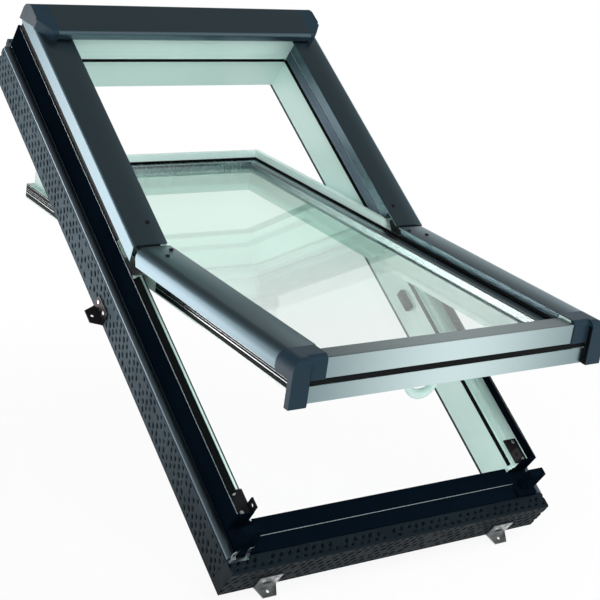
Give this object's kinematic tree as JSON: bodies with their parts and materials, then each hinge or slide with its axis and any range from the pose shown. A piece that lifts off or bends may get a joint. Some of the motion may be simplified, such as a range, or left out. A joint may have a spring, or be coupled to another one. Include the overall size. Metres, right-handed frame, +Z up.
{
  "type": "roof skylight",
  "caption": "Centre-pivot roof window with a white frame, dark metal covers and a double-glazed sash that turns about its middle, with handle, lock bolts and roof brackets.",
  "frame": {"origin": "on the roof plane, in the middle of the lower collar's underside", "axes": "+X across the window to the right seen from outside, +Z up; the roof rises towards +Y at 45 degrees, and the outer face of the window looks to -Y and +Z"},
  "size_m": [0.881, 1.284, 1.182],
  "materials": {
    "white_profile": "smooth white window profile with a faint green tint",
    "anthracite_cover": "satin anthracite coat on folded aluminium",
    "black_cladding": "gloss black coat on folded aluminium",
    "bright_aluminium": "drawn and anodised, with fine lines along its length",
    "foam": "pressed insulation foam with small oval dimples",
    "black_rubber": "soft black strip",
    "cap_plastic": "satin moulded plastic in the colour of the covers",
    "black_plastic": "moulded black plastic",
    "clear_glass": "clear float glass with a pale green tint",
    "spacer_metal": "matt spacer bar between the panes",
    "galvanised_steel": "zinc-plated steel",
    "dark_screw": "small coated screws"
  },
  "bodies": {
    "frame": {"bracket_screws": "galvanised_steel", "collar_left": "foam", "collar_lower": "foam", "collar_right": "foam", "collar_upper": "foam", "cover_carrier_left": "anthracite_cover", "cover_carrier_right": "anthracite_cover", "cover_screws": "dark_screw", "frame_gaskets": "black_rubber", "frame_head": "white_profile", "frame_sill": "white_profile", "head_cladding": "black_cladding", "head_cover": "anthracite_cover", "head_end_cap_left": "cap_plastic", "head_end_cap_right": "cap_plastic", "head_stop": "white_profile", "hinge_ear_left": "galvanised_steel", "hinge_ear_right": "galvanised_steel", "jamb_left": "white_profile", "jamb_right": "white_profile", "lower_brackets": "galvanised_steel", "opening_stop_left": "black_plastic", "opening_stop_right": "black_plastic", "side_brackets": "galvanised_steel", "side_cladding_left": "black_cladding", "side_cladding_right": "black_cladding", "sill_cladding": "black_cladding", "striker_left": "black_plastic", "striker_right": "black_plastic", "striker_screws": "galvanised_steel", "upper_brackets": "galvanised_steel", "upper_cover_left": "anthracite_cover", "upper_cover_right": "anthracite_cover", "upper_stop_left": "white_profile", "upper_stop_right": "white_profile"},
    "sash": {"bolt_guides": "black_plastic", "bottom_rail": "white_profile", "end_cap_left": "cap_plastic", "end_cap_right": "cap_plastic", "glass_spacer": "spacer_metal", "glazing_beads": "bright_aluminium", "glazing_seals": "black_rubber", "handle_base": "white_profile", "hinge_arm_left": "galvanised_steel", "hinge_arm_right": "galvanised_steel", "hinge_drum_left": "black_plastic", "hinge_drum_right": "black_plastic", "inner_pane": "clear_glass", "outer_pane": "clear_glass", "rail_cover": "bright_aluminium", "rail_lower_trim": "bright_aluminium", "sash_cover_left": "anthracite_cover", "sash_cover_right": "anthracite_cover", "sash_cover_screws": "dark_screw", "stile_left": "white_profile", "stile_right": "white_profile", "top_rail": "white_profile"},
    "handle": {"handle": "white_profile"},
    "lock_left": {"lock_bolt_left": "galvanised_steel"},
    "lock_right": {"lock_bolt_right": "galvanised_steel"}
  },
  "joints": [
    {"name": "sash_pivot", "type": "hinge", "parent": "frame", "child": "sash", "pos_m": [0, 0.3882, 0.6074], "axis": [-1, 0, 0], "range_deg": [-31.3, 33.7]},
    {"name": "handle_turn", "type": "hinge", "parent": "sash", "child": "handle", "pos_m": [0, -0.12865, 0.40113], "axis": [1, 0, 0], "range_deg": [0, 45]},
    {"name": "lock_left_slide", "type": "slide", "parent": "sash", "child": "lock_left", "axis": [-1, 0, 0], "range_m": [0, 0.01]},
    {"name": "lock_right_slide", "type": "slide", "parent": "sash", "child": "lock_right", "axis": [1, 0, 0], "range_m": [0, 0.01]}
  ],
  "couplings": [
    {"joint": "lock_left_slide", "follows": "handle_turn", "m_per_rad": 0.0127},
    {"joint": "lock_right_slide", "follows": "handle_turn", "m_per_rad": 0.0127}
  ]
}
